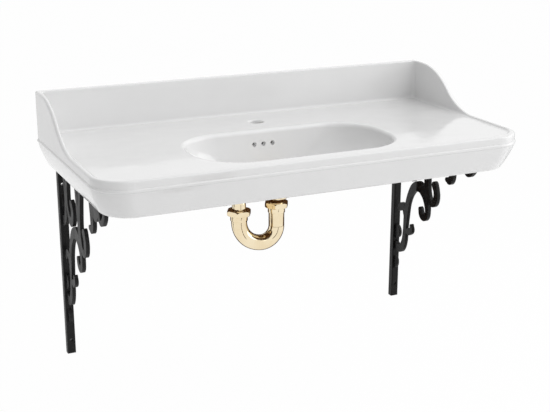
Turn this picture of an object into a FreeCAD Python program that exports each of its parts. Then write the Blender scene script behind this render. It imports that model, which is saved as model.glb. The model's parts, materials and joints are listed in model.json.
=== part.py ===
"""Wall-hung console washbasin on two scroll brackets, with its waste and tubular trap.

Millimetres. X runs along the wall, +Y goes into the wall and +Z is up. The origin is on the
wall, half way between the two studs that hold the basin.
"""
import math
import os

import FreeCAD
import Part
from FreeCAD import Vector

# Basin: overall sizes
BASIN_WIDTH = 1000.0
BASIN_DEPTH = 490.0
RIM_HEIGHT = 57.0
SPLASH_HEIGHT = 93.0
SPLASH_THICKNESS = 14.0
FLANK_THICKNESS = 11.0
FLANK_TOP_LENGTH = 45.0
FLANK_FOOT = 280.0
BACK_CORNER = 10.0
DECK_DROP = 4.0
DECK_THICKNESS = 21.0
DECK_COVE = 7.0
DECK_CORNER = 56.0
FRONT_RIM = 20.0
RIM_OUTER_ROUND = 5.0
RIM_INNER_ROUND = 3.0
SPLASH_JOINT = 12.0

# Basin: moulded lip and apron
BAND_STEP = 2.5
BEAD_HEIGHT = 8.0
BEAD_ROUND = 3.6
LIP_CORNER = 72.0
APRON_STEP = 2.5
APRON_HEIGHT = 83.0
APRON_INSET = 25.0
APRON_CORNER = 64.0
APRON_SWEEP = 1.3
APRON_SECTIONS = 6
APRON_WALL = 12.0
APRON_FOOT_ROUND = 8.0
BACK_WALL = 16.0

# Basin: bowl, tap hole and overflow
BOWL_SHARE = 0.47
BOWL_X = -9.0
BOWL_REAR = 184.0
BOWL_FRONT_MARGIN = 57.0
BOWL_ROUNDNESS = 0.43
BOWL_DEPTH = 103.0
BOWL_WALL = 11.0
BOWL_LIP_ROUND = 9.0
BOWL_FULLNESS = 2.2
BOWL_LEVELS = (0.0, 0.25, 0.5, 0.75, 0.92, 1.0)
FLOOR_RADIUS = 35.0
FLOOR_CORNER = 34.0
DRAIN_BEHIND = 52.0
DRAIN_RADIUS = 23.0
BOSS_RADIUS = 40.0
BOSS_DROP = 22.0
FLANGE_RECESS = 3.0
FLANGE_GAP = 1.0
TAP_REACH = 101.0
TAP_HOLE_RADIUS = 17.5
TAP_HOLE_ROUND = 3.5
OVERFLOW_X = -18.0
OVERFLOW_DROP = 37.0
OVERFLOW_RADIUS = 5.5
OVERFLOW_DISH = 6.0
OVERFLOW_BORE = 3.0
OVERFLOW_PITCH = 23.0
OVERFLOW_COUNT = 3
DUCT_WIDTH = 64.0
DUCT_DEPTH = 14.0
DUCT_WALL = 10.0
DUCT_FLOOR = 6.0
DUCT_ROOF = 3.0

# Wall studs
STUD_SPACING = 280.0
STUD_RADIUS = 5.0
STUD_WALL_RADIUS = 6.0
STUD_IN_WALL = 60.0
STUD_TAIL = 6.0
STUD_HOLE_RADIUS = 8.0
BUSH_SLEEVE = 9.0
BUSH_FLANGE_RADIUS = 14.0
BUSH_FLANGE = 3.0
STUD_NUT_FLATS = 17.0
STUD_NUT_HEIGHT = 8.0

# Brackets
POST_WIDTH = 20.0
POST_DEPTH = 16.0
POST_FOOT = 552.0
POST_ROUND = 2.0
POST_HOLE_RADIUS = 4.0
POST_HOLE_TOP = 127.0
POST_HOLE_FOOT = 35.0
POST_HOLE_LEAD = 40.0
POST_GAP = 2.0
PAD_THICKNESS = 4.0
PAD_LENGTH = 30.0
PAD_WIDTH = 20.0
PAD_REAR = 60.0
PAD_NOSE = 60.0
ARM_MARGIN = 90.0
ARM_FLANGE_WIDTH = 24.0
ARM_FLANGE = 6.0
ARM_WEB = 9.0
ARM_HEIGHT = 50.0
ARM_NOSE = 26.0
SCROLL_THICKNESS = 9.0
SCROLL_RAIL = 9.0

# Waste
WASTE_FLANGE_RADIUS = 31.5
WASTE_FLANGE = 2.5
WASTE_FLANGE_SEAL = 1.0
WASTE_RADIUS = 20.9
WASTE_BORE = 16.5
WASTE_SEAT_RADIUS = 26.0
WASTE_SEAT_DEPTH = 6.0
WASTE_SLOT_WIDTH = 18.0
BOSS_GASKET = 4.0
BOSS_GASKET_RADIUS = 34.0
BACK_NUT_FLATS = 54.0
BACK_NUT_HEIGHT = 8.0
WASTE_THREAD_LENGTH = 8.0
SPIDER_THICKNESS = 6.0
SPIDER_BOSS_RADIUS = 8.0
SPIDER_ARM = 4.0
SPIDER_LIFT = 4.0
SPIDER_ARMS = 3
SPIDER_TURN = 30.0
GUIDE_RADIUS = 6.0
GUIDE_FLANGE_RADIUS = 7.5
GUIDE_FLANGE = 2.0
PLUG_RADIUS = 28.0
PLUG_RISE = 5.0
PLUG_RIM = 2.0
PLUG_GAP = 0.6
PLUG_STEM_RADIUS = 4.5
PLUG_SEAL_RADIUS = 22.0
PLUG_SEAL = 2.0
RUNNING_FIT = 0.08
LOOSE_FIT = 0.3

# Trap
PIPE_RADIUS = 16.0
PIPE_WALL = 1.5
COLLAR_RADIUS = 20.4
COLLAR = 3.0
TAIL_GASKET = 1.5
TAIL_NUT_FLATS = 48.0
TAIL_NUT_LIP = 3.5
BEND_RADIUS = 18.25
BEND_WALL = 1.5
TRAP_SPACING = 94.0
TRAP_DIP = 257.0
INLET_SWEEP = 37.0
INLET_NUT_TOP = 163.0
OUTLET_NUT_TOP = 171.0
UNION_NUT_FLATS = 51.0
UNION_NUT_HEIGHT = 12.0
UNION_NUT_LIP = 3.0
UNION_RING = 2.5
UNION_RING_RADIUS = 19.4
UNION_WASHER = 2.5
UNION_THREAD_RADIUS = 20.0
UNION_COLLAR = 17.0
PIPE_ENTRY = 22.0
OUTLET_DROP = 130.0
OUTLET_SWEEP = 33.0
OUTLET_IN_WALL = 50.0
SPIGOT_RADIUS = 15.7
SPIGOT_LENGTH = 45.0
WALL_FLANGE_RADIUS = 33.0
WALL_FLANGE = 3.0
WALL_FLANGE_SLEEVE = 10.0
WALL_FLANGE_SLEEVE_WALL = 3.0

# Planes that several pieces share, and the margins of the drawing itself
UP = Vector(0, 0, 1)
ACROSS = Vector(1, 0, 0)
INTO_WALL = Vector(0, 1, 0)
HALF_WIDTH = BASIN_WIDTH / 2
DECK_Z = RIM_HEIGHT - DECK_DROP
DECK_UNDERSIDE = DECK_Z - DECK_THICKNESS
LIP_HEIGHT = RIM_HEIGHT - DECK_UNDERSIDE
APRON_FOOT = RIM_HEIGHT - APRON_HEIGHT
FLOOR_Z = RIM_HEIGHT - BOWL_DEPTH
BOSS_FOOT = FLOOR_Z - BOSS_DROP
BOWL_WIDTH = BASIN_WIDTH * BOWL_SHARE
BOWL_FRONT = BASIN_DEPTH - BOWL_FRONT_MARGIN
BOWL_CORNER = (BOWL_FRONT - BOWL_REAR) * BOWL_ROUNDNESS
DRAIN_REACH = BOWL_REAR + DRAIN_BEHIND
DRAIN = Vector(BOWL_X, -DRAIN_REACH, 0)
TRAP_OUTLET = DRAIN - ACROSS * TRAP_SPACING
BRACKET_X = HALF_WIDTH - APRON_INSET - APRON_WALL - POST_GAP - POST_WIDTH / 2
ARM_LENGTH = BASIN_DEPTH - ARM_MARGIN
ARM_TOP = DECK_UNDERSIDE - PAD_THICKNESS
ARM_FOOT = ARM_TOP - ARM_HEIGHT
TAP = Vector(0, -TAP_REACH, 0)
TOLERANCE = 0.05
CUT_MARGIN = 1.0


def below_rim(depth):
    """Height of a level that lies depth under the rim."""
    return RIM_HEIGHT - depth


def blend(start, end, share):
    """Value that lies share of the way from start to end."""
    return start + (end - start) * share


def solid_of(shape):
    """The single cleaned solid of a boolean result."""
    solids = shape.removeSplitter().Solids
    if len(solids) != 1:
        raise ValueError(f"{len(solids)} solids where one is meant")
    return solids[0]


def box(low, high):
    """Box between two corners."""
    return Part.makeBox(high.x - low.x, high.y - low.y, high.z - low.z, low)


def cylinder(centre, radius, low, high):
    """Upright cylinder on a plan centre, between two heights."""
    return Part.makeCylinder(radius, high - low, Vector(centre.x, centre.y, low))


def ring(centre, inner, outer, low, high):
    """Upright tube on a plan centre, between two heights."""
    return cylinder(centre, outer, low, high).cut(cylinder(centre, inner, low, high))


def hexagon(centre, flats, low, high):
    """Upright hexagonal prism with its corners eased on the top and bottom edges."""
    corner_radius = flats / math.sqrt(3)
    corners = [
        Vector(centre.x + corner_radius * math.cos(math.radians(60 * k)),
               centre.y + corner_radius * math.sin(math.radians(60 * k)), low)
        for k in range(6)
    ]
    prism = Part.Face(Part.makePolygon(corners + corners[:1])).extrude(UP * (high - low))
    ease = corner_radius - flats / 2
    edge_radius = flats / 2 + ease / 3
    body = cylinder(centre, corner_radius, low, high)
    rims = [edge for edge in body.Edges if edge.Closed]
    eased = body.makeChamfer(corner_radius - edge_radius, rims)
    return prism.common(eased)


def plan_wire(half_width, back, front, back_round, front_round, z):
    """Closed plan outline, symmetrical about X, with round back and front corners."""
    edges = []
    corners = (
        (-half_width, -back, back_round, Vector(1, 0, 0), Vector(0, -1, 0)),
        (-half_width, -front, front_round, Vector(0, 1, 0), Vector(1, 0, 0)),
        (half_width, -front, front_round, Vector(-1, 0, 0), Vector(0, 1, 0)),
        (half_width, -back, back_round, Vector(0, -1, 0), Vector(-1, 0, 0)),
    )
    starts = []
    for x, y, radius, toward_last, toward_next in corners:
        corner = Vector(x, y, z)
        first = corner + toward_last * radius
        last = corner + toward_next * radius
        starts.append((first, last, corner + (toward_last + toward_next) * radius, radius))
    for k, (first, last, centre, radius) in enumerate(starts):
        if radius > 0:
            outward = (first + last) * 0.5 - centre
            middle = centre + outward.normalize() * radius
            edges.append(Part.Arc(first, middle, last).toShape())
        following = starts[(k + 1) % len(starts)][0]
        edges.append(Part.makeLine(last, following))
    return Part.Wire(edges)


def prism(wire, height):
    """Solid that stands on a flat wire."""
    return Part.Face(wire).extrude(UP * height)


def edges_where(shape, test):
    """Edges whose middle point passes a test."""
    found = []
    for edge in shape.Edges:
        middle = edge.valueAt((edge.FirstParameter + edge.LastParameter) / 2)
        if test(edge, middle):
            found.append(edge)
    return found


def near(value, target, room=TOLERANCE):
    """Whether two lengths agree."""
    return abs(value - target) < room


# Basin

def apron_wire(drop, wall, back):
    """Plan outline of the apron, drawn in by a wall, at a depth under the rim."""
    share = (drop - LIP_HEIGHT) / (APRON_HEIGHT - LIP_HEIGHT)
    inset = blend(APRON_STEP, APRON_INSET, share ** APRON_SWEEP) + wall
    corner = blend(LIP_CORNER - APRON_STEP, APRON_CORNER, share)
    return plan_wire(HALF_WIDTH - inset, back, BASIN_DEPTH - inset, 0, corner, below_rim(drop))


def apron_loft(wall, back):
    """Solid that fills the apron, drawn in by a wall and cut off at a distance from the room's wall."""
    last = APRON_SECTIONS - 1
    drops = [blend(LIP_HEIGHT, APRON_HEIGHT, k / last) for k in range(APRON_SECTIONS)]
    return Part.makeLoft([apron_wire(drop, wall, back) for drop in drops], True, False)


def flank_profile():
    """Side view of the rim: level over the splashback, an S sweep, level to the front."""
    top = RIM_HEIGHT + SPLASH_HEIGHT
    foot = DECK_UNDERSIDE
    run = FLANK_FOOT - FLANK_TOP_LENGTH
    sweep = (run * run + SPLASH_HEIGHT * SPLASH_HEIGHT) / (4 * SPLASH_HEIGHT)
    half_angle = math.asin(run / (2 * sweep)) / 2
    shoulder = Vector(0, -FLANK_TOP_LENGTH, top)
    landing = Vector(0, -FLANK_FOOT, RIM_HEIGHT)
    middle = (shoulder + landing) * 0.5
    out = sweep * math.sin(half_angle)
    drop = sweep * (1 - math.cos(half_angle))
    upper = Part.Arc(shoulder, shoulder + Vector(0, -out, -drop), middle).toShape()
    lower = Part.Arc(middle, landing + Vector(0, out, drop), landing).toShape()
    front = -BASIN_DEPTH
    outline = [
        Part.makeLine(Vector(0, 0, foot), Vector(0, 0, top)),
        Part.makeLine(Vector(0, 0, top), shoulder),
        upper,
        lower,
        Part.makeLine(landing, Vector(0, front, RIM_HEIGHT)),
        Part.makeLine(Vector(0, front, RIM_HEIGHT), Vector(0, front, foot)),
        Part.makeLine(Vector(0, front, foot), Vector(0, 0, foot)),
    ]
    return Part.Face(Part.Wire(outline))


def deck_air():
    """Space above the deck, with a cove round its foot."""
    wire = plan_wire(HALF_WIDTH - FLANK_THICKNESS, SPLASH_THICKNESS, BASIN_DEPTH - FRONT_RIM,
                     BACK_CORNER, DECK_CORNER, DECK_Z)
    air = prism(wire, DECK_DROP + SPLASH_HEIGHT + DECK_COVE)
    foot = edges_where(air, lambda edge, middle: near(middle.z, DECK_Z))
    return air.makeFillet(DECK_COVE, foot)


def rim_wire(inset, z):
    """Plan outline of the lip, drawn in by an inset."""
    return plan_wire(HALF_WIDTH - inset, 0, BASIN_DEPTH - inset, 0, LIP_CORNER - inset, z)


def on_outline(point, inset):
    """Whether a point lies on the lip's inset plan outline, in front of the wall."""
    beyond_x = abs(point.x) - (HALF_WIDTH - LIP_CORNER)
    beyond_y = -point.y - (BASIN_DEPTH - LIP_CORNER)
    if beyond_x > 0 and beyond_y > 0:
        return near(math.hypot(beyond_x, beyond_y), LIP_CORNER - inset)
    edge_on = near(abs(point.x), HALF_WIDTH - inset) or near(point.y, inset - BASIN_DEPTH)
    return edge_on and not near(point.y, 0)


def start_way(edge):
    """Direction in which an edge sets off."""
    return edge.tangentAt(edge.FirstParameter)


def lip_bead():
    """Rounded bead along the foot of the lip."""
    bead = prism(rim_wire(0, DECK_UNDERSIDE), BEAD_HEIGHT)
    rounded = edges_where(bead, lambda edge, middle: on_outline(middle, 0)
                          and not near(abs(start_way(edge).z), 1))
    return bead.makeFillet(BEAD_ROUND, rounded)


def upper_solid():
    """Lip, splashback and flanks round the lowered deck."""
    plan = prism(rim_wire(BAND_STEP, DECK_UNDERSIDE), LIP_HEIGHT + SPLASH_HEIGHT)
    side = flank_profile().extrude(ACROSS * BASIN_WIDTH)
    side.translate(ACROSS * -HALF_WIDTH)
    raised = solid_of(plan.common(side).cut(deck_air()))

    def outer_rim(edge, middle):
        return middle.z > RIM_HEIGHT - TOLERANCE and on_outline(middle, BAND_STEP)

    raised = raised.makeFillet(RIM_OUTER_ROUND, edges_where(raised, outer_rim))

    def inner_rim(edge, middle):
        level = middle.z > RIM_HEIGHT - TOLERANCE
        inside = abs(middle.x) < HALF_WIDTH - FLANK_THICKNESS + DECK_COVE / 2 and not near(middle.y, 0)
        crosses = edge.Length < FLANK_THICKNESS and near(abs(start_way(edge).x), 1)
        upright = near(abs(start_way(edge).z), 1) and edge.Length > DECK_DROP
        return level and inside and not crosses and not upright

    raised = raised.makeFillet(RIM_INNER_ROUND, edges_where(raised, inner_rim))
    return solid_of(raised.fuse(lip_bead()))


def bowl_wire(level, wall):
    """Plan outline of the bowl at a share of its depth, grown by a wall."""
    closing = 1 - (1 - level ** BOWL_FULLNESS) ** (1 / BOWL_FULLNESS)
    half_width = blend(BOWL_WIDTH / 2, FLOOR_RADIUS, closing) + wall
    back = blend(BOWL_REAR, DRAIN_REACH - FLOOR_RADIUS, closing) - wall
    front = blend(BOWL_FRONT, DRAIN_REACH + FLOOR_RADIUS, closing) + wall
    corner = blend(BOWL_CORNER, FLOOR_CORNER, closing) + wall
    z = blend(DECK_Z, FLOOR_Z, level) - wall * level
    wire = plan_wire(half_width, back, front, corner, corner, z)
    wire.translate(ACROSS * BOWL_X)
    return wire


def bowl_solid(wall):
    """Bowl as a solid, grown by a wall."""
    return Part.makeLoft([bowl_wire(level, wall) for level in BOWL_LEVELS], True, False)


def overflow_cuts():
    """Dished holes through the rear wall of the bowl."""
    z = below_rim(OVERFLOW_DROP)
    to_wall = DRAIN_REACH - BOWL_REAR
    cuts = []
    for k in range(OVERFLOW_COUNT):
        x = OVERFLOW_X + (k - (OVERFLOW_COUNT - 1) / 2) * OVERFLOW_PITCH
        start = Vector(x, -DRAIN_REACH, z)
        through = to_wall + BOWL_WALL + DUCT_DEPTH / 2
        cuts.append(Part.makeCylinder(OVERFLOW_RADIUS, to_wall + OVERFLOW_DISH, start, INTO_WALL))
        cuts.append(Part.makeCylinder(OVERFLOW_BORE, through, start, INTO_WALL))
    return cuts


def duct_box(wall, low, high):
    """Upright box behind the bowl for the overflow water."""
    half = DUCT_WIDTH / 2 + wall
    rear = -(BOWL_REAR - BOWL_WALL - DUCT_DEPTH) + wall
    return box(Vector(OVERFLOW_X - half, -DRAIN_REACH, low), Vector(OVERFLOW_X + half, rear, high))


def make_basin_bowl():
    """Bowl under the deck, with its drain boss, overflow holes and overflow duct."""
    band = box(Vector(-BASIN_WIDTH, -BASIN_DEPTH, BOSS_FOOT), Vector(BASIN_WIDTH, 0, DECK_UNDERSIDE))
    duct = duct_box(DUCT_WALL, BOSS_FOOT, DECK_UNDERSIDE)
    corners = edges_where(duct, lambda edge, middle: near(abs(start_way(edge).z), 1)
                          and middle.y > -BOWL_REAR)
    duct = duct.makeFillet(DUCT_WALL, corners)
    boss = cylinder(DRAIN, BOSS_RADIUS, BOSS_FOOT, FLOOR_Z - BOWL_WALL / 2)
    channel = duct_box(0, BOSS_FOOT + DUCT_FLOOR, DECK_UNDERSIDE - DUCT_ROOF)
    cuts = [
        bowl_solid(0),
        channel.cut(bowl_solid(BOWL_WALL)),
        cylinder(DRAIN, DRAIN_RADIUS, BOSS_FOOT - CUT_MARGIN, FLOOR_Z + CUT_MARGIN),
        cylinder(DRAIN, WASTE_FLANGE_RADIUS + FLANGE_GAP, FLOOR_Z - FLANGE_RECESS, FLOOR_Z + CUT_MARGIN),
    ]
    cuts.extend(overflow_cuts())
    return solid_of(bowl_solid(BOWL_WALL).common(band).fuse([duct, boss]).cut(cuts))


def stud_holes():
    """Holes for the wall studs."""
    length = BACK_WALL + 2 * CUT_MARGIN
    holes = []
    for side in (-1, 1):
        start = Vector(side * STUD_SPACING / 2, -BACK_WALL - CUT_MARGIN, 0)
        holes.append(Part.makeCylinder(STUD_HOLE_RADIUS, length, start, INTO_WALL))
    return holes


def make_basin_upper():
    """Lip, deck, splashback and flanks, with the openings of the bowl and the tap hole."""
    tap_hole = cylinder(TAP, TAP_HOLE_RADIUS, DECK_UNDERSIDE - CUT_MARGIN, DECK_Z + CUT_MARGIN)
    body = solid_of(upper_solid().cut([bowl_solid(0), tap_hole]))

    def tap_rim(edge, middle):
        return near(middle.z, DECK_Z) and near((middle - TAP - UP * DECK_Z).Length, TAP_HOLE_RADIUS)

    def bowl_rim(edge, middle):
        across = abs(middle.x - BOWL_X) < BOWL_WIDTH / 2 + TOLERANCE
        along = -BOWL_FRONT - TOLERANCE < middle.y < -BOWL_REAR + TOLERANCE
        return near(middle.z, DECK_Z) and across and along

    body = body.makeFillet(TAP_HOLE_ROUND, edges_where(body, tap_rim))
    return body.makeFillet(BOWL_LIP_ROUND, edges_where(body, bowl_rim))


def make_basin_back():
    """Back wall under the deck, between the bracket posts, that hangs on the studs."""
    half = BRACKET_X - POST_WIDTH / 2 - POST_GAP
    wall = box(Vector(-half, -BACK_WALL, APRON_FOOT), Vector(half, 0, DECK_UNDERSIDE))
    return solid_of(wall.cut(stud_holes()))


def make_basin_apron():
    """Skirt under the lip, along the front and both sides."""
    apron = apron_loft(0, 0)
    foot = edges_where(apron, lambda edge, middle: near(middle.z, APRON_FOOT) and not near(middle.y, 0))
    return solid_of(apron.makeFillet(APRON_FOOT_ROUND, foot).cut(apron_loft(APRON_WALL, -CUT_MARGIN)))


def make_basin():
    """The fired piece, divided along flat planes."""
    upper = make_basin_upper()
    below = box(Vector(-BASIN_WIDTH, -2 * BASIN_DEPTH, APRON_FOOT),
                Vector(BASIN_WIDTH, BASIN_DEPTH, RIM_HEIGHT + SPLASH_JOINT))
    return {
        "basin_deck": solid_of(upper.common(below)),
        "basin_splash": solid_of(upper.cut(below)),
        "basin_back": make_basin_back(),
        "basin_apron": make_basin_apron(),
        "basin_bowl": make_basin_bowl(),
    }


# Wall studs

def hex_along_y(x, z, flats, low, high):
    """Hexagonal nut body that lies along Y."""
    nut = hexagon(Vector(0, 0, 0), flats, 0, high - low)
    nut.rotate(Vector(0, 0, 0), ACROSS, -90)
    nut.translate(Vector(x, low, z))
    return nut


def make_studs():
    """Two studs from the wall, with their bushes and nuts."""
    studs = []
    bushes = []
    nuts = []
    bush_face = -BACK_WALL - BUSH_FLANGE
    nut_face = bush_face - STUD_NUT_HEIGHT
    for side in (-1, 1):
        x = side * STUD_SPACING / 2
        length = STUD_TAIL - nut_face
        start = Vector(x, nut_face - STUD_TAIL, 0)
        thread = Part.makeCylinder(STUD_RADIUS, length, start, INTO_WALL)
        shank = Part.makeCylinder(STUD_WALL_RADIUS, STUD_IN_WALL, Vector(x, 0, 0), INTO_WALL)
        bore = Part.makeCylinder(STUD_RADIUS + RUNNING_FIT, length, start, INTO_WALL)
        inner = Vector(x, -BACK_WALL, 0)
        outer = Vector(x, bush_face, 0)
        sleeve = Part.makeCylinder(STUD_HOLE_RADIUS - LOOSE_FIT, BUSH_SLEEVE, inner, INTO_WALL)
        flange = Part.makeCylinder(BUSH_FLANGE_RADIUS, BUSH_FLANGE, outer, INTO_WALL)
        studs.append(solid_of(thread.fuse(shank)))
        bushes.append(sleeve.fuse(flange).cut(bore).removeSplitter())
        nuts.append(hex_along_y(x, 0, STUD_NUT_FLATS, nut_face, bush_face).cut(bore))
    return {
        "wall_studs": Part.makeCompound(studs),
        "stud_bushes": Part.makeCompound(bushes),
        "stud_nuts": Part.makeCompound(nuts),
    }


# Scroll brackets, drawn in the plane of the left one: u is out from the wall, d is under the apron

SCROLL_UNIT = ARM_LENGTH / 400


def at(u, d):
    """Point of the scroll's plane, in four-hundredths of the arm's length."""
    return Vector(0, -u * SCROLL_UNIT, APRON_FOOT - d * SCROLL_UNIT)


def biarc(start, start_way, end, end_way):
    """Two tangent arcs from one point and direction to another, as (first, middle, last) points."""
    chord = end - start
    total = start_way + end_way
    squared = 2 * (1 - start_way.dot(end_way))
    along = chord.dot(total)
    if squared < 1e-9:
        reach = chord.dot(chord) / (4 * chord.dot(end_way))
    else:
        reach = (math.sqrt(along * along + squared * chord.dot(chord)) - along) / squared
    joint = (start + start_way * reach + end - end_way * reach) * 0.5
    way = (end - end_way * reach - start - start_way * reach).normalize()
    return [(start, start_way, joint, way), (joint, way, end, end_way)]


def arc_middle(first, way, last):
    """Middle point of the arc that leaves first along way and ends at last."""
    chord = last - first
    half = chord * 0.5
    square = Vector(0, -chord.z, chord.y)
    side = way.dot(square)
    if abs(side) < 1e-9 * chord.Length * chord.Length:
        return first + half
    turn = math.atan2(side / chord.Length, way.dot(chord) / chord.Length)
    return first + half + square * (math.tan(turn / 2) / 2)


def stroke(*marks):
    """Flat tapering band through (u, d, width) marks, with round ends."""
    points = [at(u, d) for u, d, width in marks]
    widths = [width * SCROLL_UNIT for u, d, width in marks]
    last = len(points) - 1
    ways = [(points[min(k + 1, last)] - points[max(k - 1, 0)]).normalize() for k in range(last + 1)]
    left = []
    right = []
    for k in range(last):
        spans = biarc(points[k], ways[k], points[k + 1], ways[k + 1])
        middle_width = (widths[k] + widths[k + 1]) / 2
        span_widths = ((widths[k], middle_width), (middle_width, widths[k + 1]))
        for (first, way, end, end_way), (wide, narrow) in zip(spans, span_widths):
            bulge = arc_middle(first, way, end)
            bulge_way = (end - first).normalize()
            rows = ((first, way, wide), (bulge, bulge_way, (wide + narrow) / 2), (end, end_way, narrow))
            squares = [(p, Vector(0, -w.z, w.y) * (size / 2)) for p, w, size in rows]
            left.append([p + q for p, q in squares])
            right.append([p - q for p, q in squares])
    tip = points[last] + ways[last] * (widths[last] / 2)
    tail = points[0] - ways[0] * (widths[0] / 2)
    edges = [Part.Arc(*three).toShape() for three in left]
    edges.append(Part.Arc(left[-1][2], tip, right[-1][2]).toShape())
    edges.extend(Part.Arc(*reversed(three)).toShape() for three in reversed(right))
    edges.append(Part.Arc(right[0][0], tail, left[0][0]).toShape())
    return slab(Part.Face(Part.Wire(edges)))


def slab(face):
    """Scroll-thick solid of a face drawn in the bracket's middle plane."""
    plate = face.extrude(ACROSS * SCROLL_THICKNESS)
    plate.translate(ACROSS * (-SCROLL_THICKNESS / 2))
    return plate


def disc(u, d, radius):
    """Round bump of the scroll."""
    return slab(Part.Face(Part.Wire(Part.makeCircle(radius * SCROLL_UNIT, at(u, d), ACROSS))))


def make_scroll():
    """Scrollwork in the corner between post and arm."""
    half = SCROLL_THICKNESS / 2
    hang = (APRON_FOOT - ARM_FOOT + SCROLL_RAIL / 2) / SCROLL_UNIT
    rail = box(Vector(-half, ARM_NOSE - ARM_LENGTH, ARM_FOOT - SCROLL_RAIL),
               Vector(half, -POST_DEPTH, ARM_FOOT))
    strokes = [
        stroke((42, hang, 16), (49, 50, 12), (49, 90, 15), (43, 115, 19), (29, 127, 22), (18, 129, 24)),
        stroke((65, hang, 18), (62, 50, 13), (64, 80, 13), (74, 103, 17), (91, 113, 22), (104, 98, 20),
               (104, 78, 17), (96, 68, 18)),
        stroke((18, 320, 22), (32, 325, 21), (48, 318, 20), (59, 295, 17), (62, 262, 14), (65, 225, 18),
               (71, 190, 17), (83, 160, 19), (101, 138, 24), (125, 130, 28), (146, 140, 27), (160, 162, 20),
               (165, 188, 14), (160, 201, 16), (149, 206, 18), (138, 201, 17), (133, 188, 14)),
        stroke((61, 225, 12), (54, 207, 18), (40, 203, 16), (31, 214, 14)),
        stroke((67, 266, 10), (80, 265, 20), (92, 258, 14), (91, 245, 8)),
        stroke((143, hang, 18), (154, 90, 15), (160, 130, 15)),
        stroke((175, hang, 20), (164, 85, 14), (164, 115, 13), (168, 138, 14), (175, 152, 16), (187, 158, 18),
               (198, 152, 18), (203, 137, 18), (201, 122, 17), (194, 108, 20)),
        stroke((261, hang, 26), (268, 65, 20), (261, 80, 18), (248, 79, 12)),
        disc(295, 30, 22),
        stroke((319, 25, 20), (330, 42, 12), (343, 42, 13), (357, 28, 13), (363, 8, 12), (362, hang, 12)),
    ]
    scroll = rail.fuse(strokes)
    corner = box(Vector(-SCROLL_THICKNESS, -POST_DEPTH, below_rim(POST_FOOT)),
                 Vector(SCROLL_THICKNESS, 0, RIM_HEIGHT))
    over = box(Vector(-SCROLL_THICKNESS, -BASIN_DEPTH, ARM_FOOT), Vector(SCROLL_THICKNESS, 0, RIM_HEIGHT))
    return solid_of(scroll.cut([corner, over]))


def post_bump(d, half_height, reach):
    """Round bump on the post's front, from its middle depth, half its height and how far it stands out."""
    radius = (half_height * half_height + reach * reach) / (2 * reach)
    front = box(Vector(-POST_WIDTH, -BASIN_DEPTH, below_rim(POST_FOOT)), Vector(POST_WIDTH, 0, ARM_TOP))
    return disc(POST_DEPTH / SCROLL_UNIT + reach - radius, d, radius).common(front)


def make_post():
    """Upright bar on the wall, with two screw holes and three bumps."""
    low = Vector(-POST_WIDTH / 2, -POST_DEPTH, below_rim(POST_FOOT))
    post = box(low, Vector(POST_WIDTH / 2, 0, ARM_TOP))
    front = edges_where(post, lambda edge, middle: near(middle.y, -POST_DEPTH)
                        and not near(middle.z, ARM_TOP))
    post = post.makeFillet(POST_ROUND, front)
    post = post.fuse([post_bump(83, 15, 7), post_bump(281, 19, 20), post_bump(369, 19, 11)])
    for depth in (POST_HOLE_TOP, POST_FOOT - POST_HOLE_FOOT):
        start = Vector(0, -POST_DEPTH - POST_HOLE_LEAD, below_rim(depth))
        length = POST_DEPTH + POST_HOLE_LEAD + CUT_MARGIN
        post = post.cut(Part.makeCylinder(POST_HOLE_RADIUS, length, start, INTO_WALL))
    return solid_of(post)


def make_arm():
    """Cast arm of T section that carries the deck."""
    flange = box(Vector(-ARM_FLANGE_WIDTH / 2, -ARM_LENGTH, ARM_TOP - ARM_FLANGE),
                 Vector(ARM_FLANGE_WIDTH / 2, -POST_DEPTH, ARM_TOP))
    web = box(Vector(-ARM_WEB / 2, -ARM_LENGTH, ARM_FOOT),
              Vector(ARM_WEB / 2, -POST_DEPTH, ARM_TOP - ARM_FLANGE))
    nose = edges_where(web, lambda edge, middle: near(middle.y, -ARM_LENGTH) and near(middle.z, ARM_FOOT))
    return solid_of(flange.fuse(web.makeFillet(ARM_NOSE, nose)))


def make_pads():
    """Two rubber pads on an arm, under the deck."""
    pads = []
    for reach in (PAD_REAR, ARM_LENGTH - PAD_NOSE):
        pads.append(box(Vector(-PAD_WIDTH / 2, -reach - PAD_LENGTH / 2, ARM_TOP),
                        Vector(PAD_WIDTH / 2, -reach + PAD_LENGTH / 2, DECK_UNDERSIDE)))
    return pads


def make_brackets():
    """Both brackets: the same pieces, moved to each end."""
    parts = {}
    pads = []
    pieces = {"post": make_post(), "arm": make_arm(), "scroll": make_scroll()}
    for side, hand in ((-1, "left"), (1, "right")):
        shift = ACROSS * (side * BRACKET_X)
        for name, shape in pieces.items():
            moved = shape.copy()
            moved.translate(shift)
            parts[f"{hand}_bracket_{name}"] = moved
        for pad in make_pads():
            pad.translate(shift)
            pads.append(pad)
    parts["arm_pads"] = Part.makeCompound(pads)
    return parts


# Waste

def revolved(centre, outline):
    """Solid of revolution about an upright axis, from (radius, z) corners."""
    points = [Vector(centre.x + radius, centre.y, z) for radius, z in outline]
    face = Part.Face(Part.makePolygon(points + points[:1]))
    return face.revolve(Vector(centre.x, centre.y, 0), UP, 360)


# Heights of the waste, from the bowl's floor down
SEAT_Z = FLOOR_Z - FLANGE_RECESS
FLANGE_FOOT = SEAT_Z + WASTE_FLANGE_SEAL
FLANGE_TOP = FLANGE_FOOT + WASTE_FLANGE
GASKET_FOOT = BOSS_FOOT - BOSS_GASKET
BACK_NUT_FOOT = GASKET_FOOT - BACK_NUT_HEIGHT
WASTE_FOOT = BACK_NUT_FOOT - WASTE_THREAD_LENGTH
SPIDER_LOW = WASTE_FOOT + SPIDER_LIFT
SPIDER_HIGH = SPIDER_LOW + SPIDER_THICKNESS
TAIL_TOP = WASTE_FOOT - TAIL_GASKET
COLLAR_FOOT = TAIL_TOP - COLLAR


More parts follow.
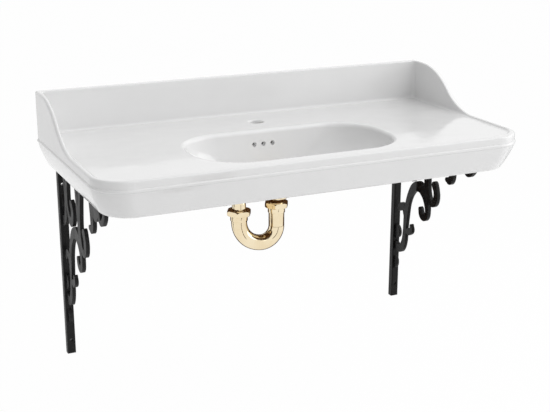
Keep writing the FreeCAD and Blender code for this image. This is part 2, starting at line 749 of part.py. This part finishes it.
def make_waste_body():
    """Flanged waste with overflow slots and a spider that holds the plug's guide."""
    half_flange = WASTE_FLANGE / 2
    body = revolved(DRAIN, [
        (WASTE_BORE, WASTE_FOOT), (WASTE_RADIUS, WASTE_FOOT), (WASTE_RADIUS, FLANGE_FOOT),
        (WASTE_FLANGE_RADIUS, FLANGE_FOOT), (WASTE_FLANGE_RADIUS, FLANGE_TOP - half_flange),
        (WASTE_FLANGE_RADIUS - half_flange, FLANGE_TOP), (WASTE_SEAT_RADIUS, FLANGE_TOP),
        (WASTE_BORE, FLANGE_TOP - WASTE_SEAT_DEPTH),
    ])
    half_slot = WASTE_SLOT_WIDTH / 2
    slot = box(DRAIN + Vector(-half_slot, -DRAIN_RADIUS, BOSS_FOOT + DUCT_FLOOR),
               DRAIN + Vector(half_slot, DRAIN_RADIUS, FLOOR_Z - BOWL_WALL))
    spider = cylinder(DRAIN, SPIDER_BOSS_RADIUS, SPIDER_LOW, SPIDER_HIGH)
    for k in range(SPIDER_ARMS):
        arm = box(DRAIN + Vector(0, -SPIDER_ARM / 2, SPIDER_LOW),
                  DRAIN + Vector((WASTE_BORE + WASTE_RADIUS) / 2, SPIDER_ARM / 2, SPIDER_HIGH))
        arm.rotate(DRAIN, UP, SPIDER_TURN + 360 * k / SPIDER_ARMS)
        spider = spider.fuse(arm)
    guide_bore = cylinder(DRAIN, GUIDE_RADIUS, SPIDER_LOW - CUT_MARGIN, SPIDER_HIGH + CUT_MARGIN)
    return solid_of(body.cut(slot).fuse(spider).cut(guide_bore))


def make_plug():
    """Domed plug with its stem, seal and the guide that the stem slides in."""
    foot = FLANGE_TOP + PLUG_GAP
    crown = foot + PLUG_RIM + PLUG_RISE
    dome_radius = (PLUG_RADIUS ** 2 + PLUG_RISE ** 2) / (2 * PLUG_RISE)
    dome = Part.makeSphere(dome_radius, Vector(DRAIN.x, DRAIN.y, crown - dome_radius))
    head = cylinder(DRAIN, PLUG_RADIUS, foot, crown).common(dome)
    stem = cylinder(DRAIN, PLUG_STEM_RADIUS, WASTE_FOOT, foot)
    bore = PLUG_STEM_RADIUS + RUNNING_FIT
    guide = ring(DRAIN, bore, GUIDE_RADIUS, SPIDER_LOW, SPIDER_HIGH)
    collar = ring(DRAIN, bore, GUIDE_FLANGE_RADIUS, SPIDER_HIGH, SPIDER_HIGH + GUIDE_FLANGE)
    return {
        "waste_plug": solid_of(head.fuse(stem)),
        "plug_seal": ring(DRAIN, PLUG_STEM_RADIUS, PLUG_SEAL_RADIUS, foot - PLUG_SEAL, foot),
        "plug_guide": solid_of(guide.fuse(collar)),
    }


def make_waste():
    """Waste body with its seals and back nut, the plug, and the tailpiece with its nut."""
    thread_bore = WASTE_RADIUS + RUNNING_FIT
    seal_bore = WASTE_RADIUS + LOOSE_FIT
    tube_bore = PIPE_RADIUS - PIPE_WALL
    pipe_foot = below_rim(INLET_NUT_TOP + PIPE_ENTRY)
    tail = ring(DRAIN, tube_bore, PIPE_RADIUS, pipe_foot, TAIL_TOP)
    collar = ring(DRAIN, tube_bore, COLLAR_RADIUS, COLLAR_FOOT, TAIL_TOP)
    nut_top = BACK_NUT_FOOT - LOOSE_FIT
    nut_foot = COLLAR_FOOT - TAIL_NUT_LIP
    tail_nut = hexagon(DRAIN, TAIL_NUT_FLATS, nut_foot, nut_top).cut([
        cylinder(DRAIN, thread_bore, COLLAR_FOOT, nut_top + CUT_MARGIN),
        cylinder(DRAIN, PIPE_RADIUS + LOOSE_FIT, nut_foot - CUT_MARGIN, COLLAR_FOOT + CUT_MARGIN),
    ])
    back_nut = hexagon(DRAIN, BACK_NUT_FLATS, BACK_NUT_FOOT, GASKET_FOOT).cut(
        cylinder(DRAIN, thread_bore, BACK_NUT_FOOT - CUT_MARGIN, GASKET_FOOT + CUT_MARGIN))
    parts = {
        "waste_body": make_waste_body(),
        "waste_flange_seal": ring(DRAIN, seal_bore, WASTE_FLANGE_RADIUS, SEAT_Z, FLANGE_FOOT),
        "waste_gasket": ring(DRAIN, seal_bore, BOSS_GASKET_RADIUS, GASKET_FOOT, BOSS_FOOT),
        "waste_back_nut": back_nut,
        "tailpiece": solid_of(tail.fuse(collar)),
        "tailpiece_gasket": ring(DRAIN, PIPE_RADIUS, COLLAR_RADIUS, TAIL_TOP, WASTE_FOOT),
        "tailpiece_nut": tail_nut,
    }
    parts.update(make_plug())
    return parts


# Trap

def tube_along(wire, start, way, outer, wall):
    """Hollow tube swept along a wire that starts at start and leaves along way."""
    solids = []
    for radius in (outer, outer - wall):
        profile = Part.Wire(Part.makeCircle(radius, start, way))
        solids.append(wire.makePipeShell([profile], True, False))
    return solids[0].cut(solids[1])


def union_parts(name, centre, nut_top):
    """Nut, slip ring and washer round a pipe that enters a threaded leg from above."""
    top = below_rim(nut_top)
    nut_foot = top - UNION_NUT_HEIGHT
    lip_foot = top - UNION_NUT_LIP
    ring_foot = lip_foot - UNION_RING
    washer_foot = ring_foot - UNION_WASHER
    nut = hexagon(centre, UNION_NUT_FLATS, nut_foot, top).cut([
        cylinder(centre, PIPE_RADIUS + LOOSE_FIT, lip_foot - CUT_MARGIN, top + CUT_MARGIN),
        cylinder(centre, UNION_THREAD_RADIUS + RUNNING_FIT, nut_foot - CUT_MARGIN, lip_foot),
    ])
    bore = PIPE_RADIUS + RUNNING_FIT
    return {
        f"trap_{name}_nut": nut,
        f"trap_{name}_ring": ring(centre, bore, UNION_RING_RADIUS, ring_foot, lip_foot),
        f"trap_{name}_washer": ring(centre, bore, UNION_RING_RADIUS, washer_foot, ring_foot),
    }


def leg_top(nut_top):
    """Height of the threaded end of a leg inside its union nut."""
    return below_rim(nut_top + UNION_NUT_LIP + UNION_RING + UNION_WASHER)


def threaded_end(centre, top):
    """Thick end of a leg that takes the union nut."""
    return ring(centre, BEND_RADIUS - BEND_WALL, UNION_THREAD_RADIUS, top - UNION_COLLAR, top)


def quarter_turn(centre, first, last):
    """Quarter circle about a centre, from one radius vector to the other."""
    middle = (first + last).normalize() * first.Length
    return Part.Arc(centre + first, centre + middle, centre + last).toShape()


def make_u_bend():
    """Swept bend from the inlet leg's seam down and up to the threaded outlet end."""
    bottom = below_rim(TRAP_DIP)
    seam = bottom + INLET_SWEEP
    outlet_sweep = TRAP_SPACING - INLET_SWEEP
    rise = bottom + outlet_sweep
    top = leg_top(OUTLET_NUT_TOP)
    inlet_centre = DRAIN + UP * seam - ACROSS * INLET_SWEEP
    outlet_centre = DRAIN + UP * rise - ACROSS * INLET_SWEEP
    path = Part.Wire([
        quarter_turn(inlet_centre, ACROSS * INLET_SWEEP, UP * -INLET_SWEEP),
        quarter_turn(outlet_centre, UP * -outlet_sweep, ACROSS * -outlet_sweep),
        Part.makeLine(TRAP_OUTLET + UP * rise, TRAP_OUTLET + UP * top),
    ])
    bend = tube_along(path, DRAIN + UP * seam, UP * -1, BEND_RADIUS, BEND_WALL)
    return solid_of(bend.fuse(threaded_end(TRAP_OUTLET, top)))


def make_outlet_pipe():
    """Pipe from the outlet union up and back through the wall, with a spigot at its end."""
    line_z = below_rim(OUTLET_DROP)
    foot = TRAP_OUTLET + UP * below_rim(OUTLET_NUT_TOP + PIPE_ENTRY)
    elbow_centre = TRAP_OUTLET + INTO_WALL * OUTLET_SWEEP + UP * (line_z - OUTLET_SWEEP)
    end = Vector(TRAP_OUTLET.x, OUTLET_IN_WALL, line_z)
    route = Part.Wire([
        Part.makeLine(foot, elbow_centre - INTO_WALL * OUTLET_SWEEP),
        quarter_turn(elbow_centre, INTO_WALL * -OUTLET_SWEEP, UP * OUTLET_SWEEP),
        Part.makeLine(elbow_centre + UP * OUTLET_SWEEP, end),
    ])
    pipe = tube_along(route, foot, UP, PIPE_RADIUS, PIPE_WALL)
    start = end - INTO_WALL * SPIGOT_LENGTH
    length = SPIGOT_LENGTH + CUT_MARGIN
    skin = Part.makeCylinder(PIPE_RADIUS + CUT_MARGIN, length, start, INTO_WALL)
    return solid_of(pipe.cut(skin.cut(Part.makeCylinder(SPIGOT_RADIUS, length, start, INTO_WALL))))


def make_wall_flange():
    """Cover plate with a sleeve that slides on the outlet pipe, against the wall."""
    bore = PIPE_RADIUS + RUNNING_FIT
    sleeve = bore + WALL_FLANGE_SLEEVE_WALL
    centre = Vector(TRAP_OUTLET.x, 0, 0)
    flange = revolved(centre, [
        (bore, 0), (WALL_FLANGE_RADIUS, 0), (WALL_FLANGE_RADIUS, WALL_FLANGE / 2),
        (sleeve + WALL_FLANGE, WALL_FLANGE), (sleeve, WALL_FLANGE * 2),
        (sleeve, WALL_FLANGE_SLEEVE), (bore, WALL_FLANGE_SLEEVE),
    ])
    flange.rotate(centre, ACROSS, 90)
    flange.translate(UP * below_rim(OUTLET_DROP))
    return flange


def make_trap():
    """Inlet leg, U bend, both unions, the outlet pipe and its wall flange."""
    seam = below_rim(TRAP_DIP) + INLET_SWEEP
    inlet_top = leg_top(INLET_NUT_TOP)
    leg = ring(DRAIN, BEND_RADIUS - BEND_WALL, BEND_RADIUS, seam, inlet_top)
    parts = {
        "trap_inlet_leg": solid_of(leg.fuse(threaded_end(DRAIN, inlet_top))),
        "trap_u_bend": make_u_bend(),
        "trap_outlet_pipe": make_outlet_pipe(),
        "wall_flange": make_wall_flange(),
    }
    parts.update(union_parts("inlet", DRAIN, INLET_NUT_TOP))
    parts.update(union_parts("outlet", TRAP_OUTLET, OUTLET_NUT_TOP))
    return parts


def main():
    """Write one file for each piece."""
    os.makedirs("parts", exist_ok=True)
    parts = make_basin()
    parts.update(make_studs())
    parts.update(make_brackets())
    parts.update(make_waste())
    parts.update(make_trap())
    for name, shape in parts.items():
        shape.exportStep(f"parts/{name}.step")
        valid = "valid" if shape.isValid() else "NOT VALID"
        print(f"{name}: {len(shape.Solids)} solids, {shape.Volume / 1000:.1f} cm3, {valid}")


main()
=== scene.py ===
"""Looks, lights and camera for the wall-hung washbasin.

Metres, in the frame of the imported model: X along the wall, +Y into the wall, +Z up.
"""
import json
import math

import bpy
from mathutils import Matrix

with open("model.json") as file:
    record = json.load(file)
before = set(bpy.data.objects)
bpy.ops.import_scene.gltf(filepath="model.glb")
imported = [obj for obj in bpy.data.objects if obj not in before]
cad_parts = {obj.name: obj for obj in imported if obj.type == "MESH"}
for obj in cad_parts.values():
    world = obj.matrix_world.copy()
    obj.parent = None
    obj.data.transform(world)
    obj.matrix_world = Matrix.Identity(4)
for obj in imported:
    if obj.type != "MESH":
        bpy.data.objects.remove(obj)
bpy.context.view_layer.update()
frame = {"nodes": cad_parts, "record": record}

# Camera, fitted to the straight edges of the rim; angles in radians, sensor in millimetres
CAMERA_PLACE = (-1.056, -2.4817, 0.6457)
CAMERA_YAW = 0.4347
CAMERA_PITCH = 0.2988
CAMERA_ROLL = -0.0008
FOCAL_PIXELS = 1122.6
PHOTO_WIDTH = 550.0
SENSOR_WIDTH = 36.0

# Floor that looks white to the camera and to mirrors, and is a pale matt surface for all other light
WHITE = (1, 1, 1, 1)
FLOOR_PALE = (0.9, 0.9, 0.9, 1)
FLOOR_GLOW = 0.96
FLOOR_Z = -0.8
FLOOR_SIZE = 80.0

# World: its mean light, and how much stronger it is toward each axis; mirrors see it plain white
WORLD_LIGHT = 0.79
WORLD_LEAN = (0.66, 0.15, 0.05)

# Lamps: name, place, width and height, watts; all face one point in the basin
LAMP_TARGET = (0, -0.25, 0)
LAMPS = (
    ("key", (1.4, -1.6, 2.4), (2.8, 2.8), 20.0),
    ("right", (2.6, -1.2, 0.4), (2.0, 1.4), 12.0),
)

# Cards that only polished surfaces mirror: name, place, turn in degrees, width and height, colour
CARD_BROWN = (0.10, 0.05, 0.022, 1)
CARD_GREY = (0.85, 0.85, 0.85, 1)
CARDS = (
    ("card_back", (0.08, 0.05, -0.4), (90, 0, 156), (0.9, 0.7), CARD_BROWN),
    ("card_line", (0.04, -1.25, -0.45), (90, 0, 5), (0.12, 0.7), CARD_BROWN),
    ("card_over", (-0.06, -0.2, -0.075), (0, 0, 0), (0.44, 0.3), CARD_BROWN),
    ("card_right", (1.53, 0.17, -0.25), (90, 0, -60), (1.6, 1.0), CARD_GREY),
)

# Colours of the finishes
GLAZE_WHITE = (0.83, 0.83, 0.83, 1)
GLAZE_SHADE = (0.81, 0.81, 0.81, 1)
BISCUIT = (0.72, 0.69, 0.63, 1)
ENAMEL_BLACK = (0.005, 0.005, 0.0055, 1)
ENAMEL_WORN = (0.012, 0.0117, 0.0115, 1)
ENAMEL_RUBBED = (0.045, 0.043, 0.041, 1)
BRASS_LIGHT = (0.90, 0.78, 0.56, 1)
BRASS_DEEP = (0.84, 0.70, 0.47, 1)
# Brown laid into the closed corners of the brass: part tarnish, part painted shade
BRASS_TARNISH_AND_SHADE = (0.30, 0.17, 0.07, 1)
RUBBER_BLACK = (0.02, 0.02, 0.02, 1)
RUBBER_DUST = (0.06, 0.06, 0.058, 1)
ZINC = (0.52, 0.53, 0.55, 1)
ZINC_DULL = (0.36, 0.36, 0.37, 1)
NYLON = (0.74, 0.73, 0.70, 1)
NYLON_SHADE = (0.62, 0.61, 0.58, 1)

# Unglazed back: how near the wall a face lies, and how squarely it faces the wall
BARE_DEPTH = (-0.003, -0.001)
BARE_FACING = (0.6, 0.8)

# Roughness where the glaze or the polish is missing
BARE_ROUGHNESS = 0.85
TARNISH_ROUGHNESS = 0.35

# Waves and grain of the plain finishes, as multiples of the scale of their clouds
PLAIN_WAVES = 3
PLAIN_GRAIN = 20

# Rounding of sharp edges by material slot, after points this close are made one
SOFT_EDGES = {"iron": 0.0014, "brass": 0.0005}
EDGE_SEGMENTS = 2
EDGE_ANGLE = math.radians(40)
WELD_REACH = 0.00001


class Nodes:
    """Short hand for building one node tree."""

    def __init__(self, tree):
        self.tree = tree

    def add(self, kind, inputs=None, **settings):
        """New node with its settings, its input values and its links."""
        node = self.tree.nodes.new(kind)
        for key, value in settings.items():
            setattr(node, key, value)
        for key, value in (inputs or {}).items():
            self.put(node.inputs[key], value)
        return node

    def put(self, socket, value):
        """Links a socket, or sets its constant."""
        if isinstance(value, bpy.types.NodeSocket):
            self.tree.links.new(value, socket)
        else:
            socket.default_value = value

    def combine(self, kind, operation, first, second):
        """Value of an operation on two numbers or two vectors."""
        node = self.add(kind, {0: first, 1: second}, operation=operation)
        return node.outputs["Value"]

    def ramp(self, value, start, end, low=0.0, high=1.0):
        """Value from start to end brought to low to high, and held beyond them."""
        node = self.add("ShaderNodeMapRange", {
            "Value": value, "From Min": start, "From Max": end, "To Min": low, "To Max": high})
        return node.outputs["Result"]

    def noise(self, place, scale, detail, roughness=0.5):
        """Soft noise from zero to one."""
        node = self.add("ShaderNodeTexNoise", {
            "Vector": place, "Scale": scale, "Detail": detail, "Roughness": roughness})
        return node.outputs["Fac"]

    def mix(self, kind, share, first, second):
        """First and second colour or number, mixed by a share."""
        node = self.add("ShaderNodeMix", {"Factor": share, "A": first, "B": second}, data_type=kind)
        return node.outputs["Result"]


def new_group(name, inputs, outputs):
    """Empty shader group: its nodes, the sockets that feed it and the sockets that it puts out."""
    tree = bpy.data.node_groups.new(name, "ShaderNodeTree")
    for label, kind, value in inputs:
        socket = tree.interface.new_socket(label, in_out="INPUT", socket_type=kind)
        if value is not None:
            socket.default_value = value
    for label, kind in outputs:
        tree.interface.new_socket(label, in_out="OUTPUT", socket_type=kind)
    nodes = Nodes(tree)
    return nodes, nodes.add("NodeGroupInput").outputs, nodes.add("NodeGroupOutput").inputs


def make_mottle():
    """Two colours mixed by soft clouds, with a roughness that follows them."""
    nodes, given, result = new_group(
        "mottle",
        [("Vector", "NodeSocketVector", None), ("Size", "NodeSocketFloat", 20.0),
         ("Light", "NodeSocketColor", None), ("Deep", "NodeSocketColor", None),
         ("Smooth", "NodeSocketFloat", 0.1), ("Rough", "NodeSocketFloat", 0.2)],
        [("Color", "NodeSocketColor"), ("Roughness", "NodeSocketFloat")])
    cloud = nodes.noise(given["Vector"], given["Size"], detail=4.0, roughness=0.55)
    share = nodes.ramp(cloud, 0.35, 0.65)
    nodes.put(result["Color"], nodes.mix("RGBA", share, given["Light"], given["Deep"]))
    nodes.put(result["Roughness"], nodes.ramp(cloud, 0.3, 0.7, given["Smooth"], given["Rough"]))
    return nodes.tree


def make_ripple():
    """Height of a broad wave with a fine grain on it."""
    nodes, given, result = new_group(
        "ripple",
        [("Vector", "NodeSocketVector", None), ("Wave Size", "NodeSocketFloat", 30.0),
         ("Grain Size", "NodeSocketFloat", 800.0), ("Grain Share", "NodeSocketFloat", 0.2)],
        [("Height", "NodeSocketFloat")])
    wave = nodes.noise(given["Vector"], given["Wave Size"], detail=1.0)
    grain = nodes.noise(given["Vector"], given["Grain Size"], detail=3.0)
    nodes.put(result["Height"], nodes.mix("FLOAT", given["Grain Share"], wave, grain))
    return nodes.tree


def make_edge_wear():
    """Mask of the edges that hands and cloths rub, broken up by noise."""
    nodes, given, result = new_group(
        "edge_wear",
        [("Vector", "NodeSocketVector", None), ("Reach", "NodeSocketFloat", 0.002),
         ("Patch Size", "NodeSocketFloat", 60.0)],
        [("Mask", "NodeSocketFloat")])
    rounded = nodes.add("ShaderNodeBevel", {"Radius": given["Reach"]}, samples=6).outputs["Normal"]
    plain = nodes.add("ShaderNodeNewGeometry").outputs["Normal"]
    edge = nodes.ramp(nodes.combine("ShaderNodeVectorMath", "DOT_PRODUCT", rounded, plain), 0.99, 0.8)
    rubbed = nodes.ramp(nodes.noise(given["Vector"], given["Patch Size"], detail=3.0), 0.4, 0.6)
    nodes.put(result["Mask"], nodes.combine("ShaderNodeMath", "MULTIPLY", edge, rubbed))
    return nodes.tree


def make_crevice():
    """Mask of the closed corners that the AO node finds, for tarnish and painted shade."""
    nodes, given, result = new_group(
        "crevice", [("Reach", "NodeSocketFloat", 0.006)], [("Mask", "NodeSocketFloat")])
    open_share = nodes.add("ShaderNodeAmbientOcclusion", {"Distance": given["Reach"]}, samples=8)
    nodes.put(result["Mask"], nodes.ramp(open_share.outputs["AO"], 0.75, 0.35))
    return nodes.tree


MOTTLE = make_mottle()
RIPPLE = make_ripple()
EDGE_WEAR = make_edge_wear()
CREVICE = make_crevice()


def empty_material(name):
    """Material without nodes, and its node tree."""
    material = bpy.data.materials.new(name)
    material.use_nodes = True
    material.node_tree.nodes.clear()
    return material, Nodes(material.node_tree)


def new_material(name):
    """Material with one Principled shader, its nodes and its object coordinates."""
    material, nodes = empty_material(name)
    shader = nodes.add("ShaderNodeBsdfPrincipled")
    nodes.add("ShaderNodeOutputMaterial", {"Surface": shader.outputs["BSDF"]})
    place = nodes.add("ShaderNodeTexCoord").outputs["Object"]
    return material, nodes, shader, place


def surface(nodes, shader, place, mottle, ripple, height):
    """Feeds a shader from the mottle and ripple groups."""
    clouds = nodes.add("ShaderNodeGroup", {"Vector": place, **mottle}, node_tree=MOTTLE)
    waves = nodes.add("ShaderNodeGroup", {"Vector": place, **ripple}, node_tree=RIPPLE)
    bump = nodes.add("ShaderNodeBump", {"Height": waves.outputs["Height"], "Distance": height})
    nodes.put(shader.inputs["Base Color"], clouds.outputs["Color"])
    nodes.put(shader.inputs["Roughness"], clouds.outputs["Roughness"])
    nodes.put(shader.inputs["Normal"], bump.outputs["Normal"])


def masked(nodes, shader, name, mask, value):
    """Lays a second colour or value over what already feeds a socket, where a mask is one."""
    socket = shader.inputs[name]
    kind = "RGBA" if socket.type == "RGBA" else "FLOAT"
    nodes.put(socket, nodes.mix(kind, mask, socket.links[0].from_socket, value))


def bare_back(nodes, place):
    """Mask of the unglazed faces that lie against the wall."""
    normal = nodes.add("ShaderNodeNewGeometry").outputs["Normal"]
    depth = nodes.add("ShaderNodeSeparateXYZ", {"Vector": place}).outputs["Y"]
    facing = nodes.add("ShaderNodeSeparateXYZ", {"Vector": normal}).outputs["Y"]
    near_wall = nodes.ramp(depth, *BARE_DEPTH)
    to_wall = nodes.ramp(facing, *BARE_FACING)
    return nodes.combine("ShaderNodeMath", "MULTIPLY", near_wall, to_wall)


def glazed_ceramic():
    """White glaze with a slow wave in it, and a bare back."""
    material, nodes, shader, place = new_material("glazed_ceramic")
    surface(nodes, shader, place,
            {"Size": 6.0, "Light": GLAZE_WHITE, "Deep": GLAZE_SHADE, "Smooth": 0.07, "Rough": 0.12},
            {"Wave Size": 14.0, "Grain Size": 260.0, "Grain Share": 0.04}, height=0.0012)
    bare = bare_back(nodes, place)
    masked(nodes, shader, "Base Color", bare, BISCUIT)
    masked(nodes, shader, "Roughness", bare, BARE_ROUGHNESS)
    shader.inputs["IOR"].default_value = 1.52
    shader.inputs["Coat Weight"].default_value = 0.4
    shader.inputs["Coat Roughness"].default_value = 0.04
    return material


def black_enamel():
    """Satin black enamel on cast iron, rubbed at its edges."""
    material, nodes, shader, place = new_material("black_enamel")
    surface(nodes, shader, place,
            {"Size": 45.0, "Light": ENAMEL_BLACK, "Deep": ENAMEL_WORN, "Smooth": 0.38, "Rough": 0.52},
            {"Wave Size": 160.0, "Grain Size": 900.0, "Grain Share": 0.35}, height=0.0004)
    wear = nodes.add(
        "ShaderNodeGroup", {"Vector": place, "Reach": 0.0025, "Patch Size": 70.0}, node_tree=EDGE_WEAR)
    masked(nodes, shader, "Base Color", wear.outputs["Mask"], ENAMEL_RUBBED)
    shader.inputs["Specular IOR Level"].default_value = 0.22
    return material


def polished_brass():
    """Polished brass with faint buffing clouds, with tarnish and painted shade in its corners."""
    material, nodes, shader, place = new_material("polished_brass")
    surface(nodes, shader, place,
            {"Size": 25.0, "Light": BRASS_LIGHT, "Deep": BRASS_DEEP, "Smooth": 0.05, "Rough": 0.08},
            {"Wave Size": 30.0, "Grain Size": 2500.0, "Grain Share": 0.1}, height=0.00001)
    # Painted shade: brown tarnish colour laid into the closed corners, darkest where shade falls
    tarnish_and_shade = nodes.add("ShaderNodeGroup", {"Reach": 0.006}, node_tree=CREVICE).outputs["Mask"]
    masked(nodes, shader, "Base Color", tarnish_and_shade, BRASS_TARNISH_AND_SHADE)
    masked(nodes, shader, "Roughness", tarnish_and_shade, TARNISH_ROUGHNESS)
    shader.inputs["Metallic"].default_value = 1.0
    return material


def plain_finish(name, light, deep, smooth, rough, size, height, metallic=0.0):
    """Simple finish for the fixings and seals."""
    material, nodes, shader, place = new_material(name)
    surface(nodes, shader, place,
            {"Size": size, "Light": light, "Deep": deep, "Smooth": smooth, "Rough": rough},
            {"Wave Size": size * PLAIN_WAVES, "Grain Size": size * PLAIN_GRAIN, "Grain Share": 0.4}, height)
    shader.inputs["Metallic"].default_value = metallic
    return material


FINISHES = {
    "ceramic": glazed_ceramic(),
    "iron": black_enamel(),
    "brass": polished_brass(),
    "rubber": plain_finish(
        "black_rubber", RUBBER_BLACK, RUBBER_DUST, smooth=0.6, rough=0.85, size=80.0, height=0.0004),
    "steel": plain_finish(
        "zinc_steel", ZINC, ZINC_DULL, smooth=0.25, rough=0.45, size=120.0, height=0.0002, metallic=1.0),
    "plastic": plain_finish(
        "white_nylon", NYLON, NYLON_SHADE, smooth=0.4, rough=0.6, size=70.0, height=0.0002),
}


def soften_edges(node, width):
    """Rounds the sharp edges of a CAD node."""
    weld = node.modifiers.new("weld", "WELD")
    weld.merge_threshold = WELD_REACH
    bevel = node.modifiers.new("soft_edges", "BEVEL")
    bevel.width = width
    bevel.segments = EDGE_SEGMENTS
    bevel.limit_method = "ANGLE"
    bevel.angle_limit = EDGE_ANGLE
    bevel.harden_normals = True


def dress_nodes():
    """Gives every CAD node the finish and the edges of its material slot."""
    for part in frame["record"]["subparts"]:
        node = frame["nodes"][part["node"]]
        slot = part["material_slot"]
        if not node.material_slots:
            node.data.materials.append(FINISHES[slot])
        for held in node.material_slots:
            held.material = FINISHES[slot]
        if slot in SOFT_EDGES:
            soften_edges(node, SOFT_EDGES[slot])


def add_camera():
    """Camera that sees the basin as the photo does."""
    data = bpy.data.cameras.new("camera")
    data.sensor_fit = "HORIZONTAL"
    data.sensor_width = SENSOR_WIDTH
    data.lens = FOCAL_PIXELS / PHOTO_WIDTH * SENSOR_WIDTH
    camera = bpy.data.objects.new("camera", data)
    camera.location = CAMERA_PLACE
    camera.rotation_euler = (math.pi / 2 - CAMERA_PITCH, CAMERA_ROLL, -CAMERA_YAW)
    bpy.context.scene.collection.objects.link(camera)
    bpy.context.scene.camera = camera


def add_softbox(name, place, size, power):
    """Rectangular area lamp that faces the basin."""
    data = bpy.data.lights.new(name, "AREA")
    data.shape = "RECTANGLE"
    data.size, data.size_y = size
    data.energy = power
    lamp = bpy.data.objects.new(name, data)
    lamp.location = place
    way = [end - start for end, start in zip(LAMP_TARGET, place)]
    flat = math.hypot(way[0], way[1])
    lamp.rotation_euler = (math.atan2(flat, -way[2]), 0, math.atan2(way[1], way[0]) - math.pi / 2)
    bpy.context.scene.collection.objects.link(lamp)


def seen_directly(nodes):
    """One for rays that come from the camera, a mirror or glass."""
    rays = nodes.add("ShaderNodeLightPath").outputs
    first = nodes.combine("ShaderNodeMath", "MAXIMUM", rays["Is Camera Ray"], rays["Is Glossy Ray"])
    return nodes.combine("ShaderNodeMath", "MAXIMUM", first, rays["Is Transmission Ray"])


def add_world():
    """White world whose light leans to one side."""
    world = bpy.data.worlds.new("studio")
    world.use_nodes = True
    world.node_tree.nodes.clear()
    nodes = Nodes(world.node_tree)
    way = nodes.add("ShaderNodeTexCoord").outputs["Generated"]
    lean = nodes.combine("ShaderNodeVectorMath", "DOT_PRODUCT", way, WORLD_LEAN)
    soft = nodes.ramp(lean, -1.0, 1.0, 0.0, 2 * WORLD_LIGHT)
    strength = nodes.ramp(seen_directly(nodes), 0.0, 1.0, soft, 1.0)
    light = nodes.add("ShaderNodeBackground", {"Color": WHITE, "Strength": strength})
    nodes.add("ShaderNodeOutputWorld", {"Surface": light.outputs["Background"]})
    bpy.context.scene.world = world


def add_floor():
    """Wide pale floor under the brackets."""
    material, nodes = empty_material("pale_floor")
    matt = nodes.add("ShaderNodeBsdfDiffuse", {"Color": FLOOR_PALE}).outputs["BSDF"]
    glow = nodes.add("ShaderNodeEmission", {"Color": WHITE, "Strength": 1.0}).outputs["Emission"]
    share = nodes.combine("ShaderNodeMath", "MULTIPLY", seen_directly(nodes), FLOOR_GLOW)
    mixed = nodes.add("ShaderNodeMixShader", {"Fac": share, 1: matt, 2: glow})
    nodes.add("ShaderNodeOutputMaterial", {"Surface": mixed.outputs["Shader"]})
    bpy.ops.mesh.primitive_plane_add(size=FLOOR_SIZE, location=(0, 0, FLOOR_Z))
    floor = bpy.context.object
    floor.name = "floor"
    floor.data.materials.append(material)


def add_card(name, place, turn, size, colour):
    """Matt card that only polished surfaces mirror."""
    material, nodes = empty_material(name)
    matt = nodes.add("ShaderNodeBsdfDiffuse", {"Color": colour})
    nodes.add("ShaderNodeOutputMaterial", {"Surface": matt.outputs["BSDF"]})
    bpy.ops.mesh.primitive_plane_add(size=1, location=place)
    card = bpy.context.object
    card.name = name
    card.scale = (*size, 1)
    card.rotation_euler = [math.radians(angle) for angle in turn]
    card.data.materials.append(material)
    card.visible_camera = False
    card.visible_diffuse = False
    card.visible_shadow = False
    card.visible_transmission = False


dress_nodes()
add_camera()
add_world()
add_floor()
for lamp in LAMPS:
    add_softbox(*lamp)
for card in CARDS:
    add_card(*card)
bpy.context.scene.view_settings.view_transform = "Standard"
